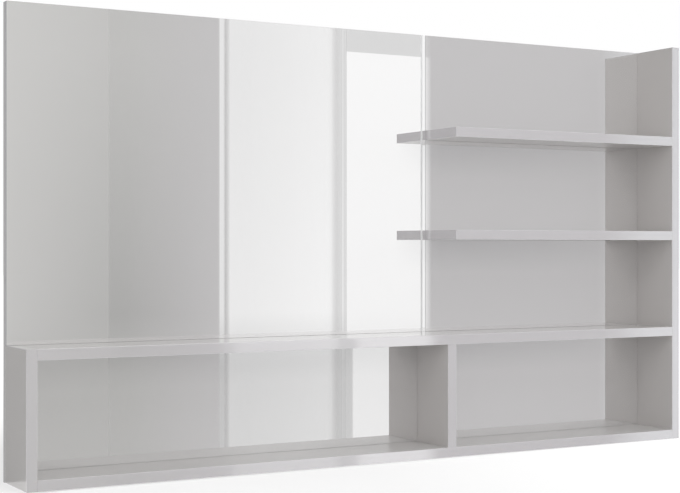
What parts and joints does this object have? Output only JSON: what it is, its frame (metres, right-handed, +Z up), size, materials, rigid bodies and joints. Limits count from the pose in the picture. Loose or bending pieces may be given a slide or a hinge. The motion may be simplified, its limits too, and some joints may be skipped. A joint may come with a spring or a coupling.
{
  "type": "bathroom mirror with shelves",
  "caption": "Wall-hung bathroom mirror unit: a mirrored back board with open compartments along the bottom and free-ended shelves beside a tall right side panel.",
  "frame": {"origin": "centre of the rear face that lies on the wall, at mid width and mid height", "axes": "+X to the right as seen from the front, +Y towards the wall, +Z up"},
  "size_m": [1.2, 0.11, 0.7008],
  "materials": {
    "board": "high-gloss light grey lacquer on engineered board",
    "edging": "gloss",
    "mirror_pane": "polished",
    "foam_tape": "matt foam",
    "zinc_hardware": "cast zinc",
    "steel_hardware": "zinc plated",
    "cap_plastic": "satin",
    "beech": "raw"
  },
  "bodies": {
    "root": {"back_board": "board", "bottom_board": "board", "middle_board": "board", "left_side_panel": "board", "divider": "board", "right_side_panel": "board", "lower_shelf": "board", "upper_shelf": "board", "main_mirror": "mirror_pane", "top_bay_mirror": "mirror_pane", "middle_bay_mirror": "mirror_pane", "low_bay_mirror": "mirror_pane", "left_compartment_mirror": "mirror_pane", "right_compartment_mirror": "mirror_pane", "mirror_tape": "foam_tape", "back_left_edging": "edging", "back_right_edging": "edging", "back_top_edging": "edging", "back_bottom_edging": "edging", "bottom_board_edging": "edging", "middle_board_edging": "edging", "left_panel_front_edging": "edging", "left_panel_top_edging": "edging", "left_panel_foot_edging": "edging", "divider_edging": "edging", "right_panel_front_edging": "edging", "right_panel_top_edging": "edging", "right_panel_foot_edging": "edging", "lower_shelf_front_edging": "edging", "lower_shelf_end_edging": "edging", "upper_shelf_front_edging": "edging", "upper_shelf_end_edging": "edging", "cam_housings": "zinc_hardware", "cam_bolts": "steel_hardware", "cam_caps": "cap_plastic", "dowels": "beech", "back_screws": "steel_hardware", "hanger_plates": "steel_hardware", "hanger_screws": "steel_hardware"}
  },
  "joints": []
}
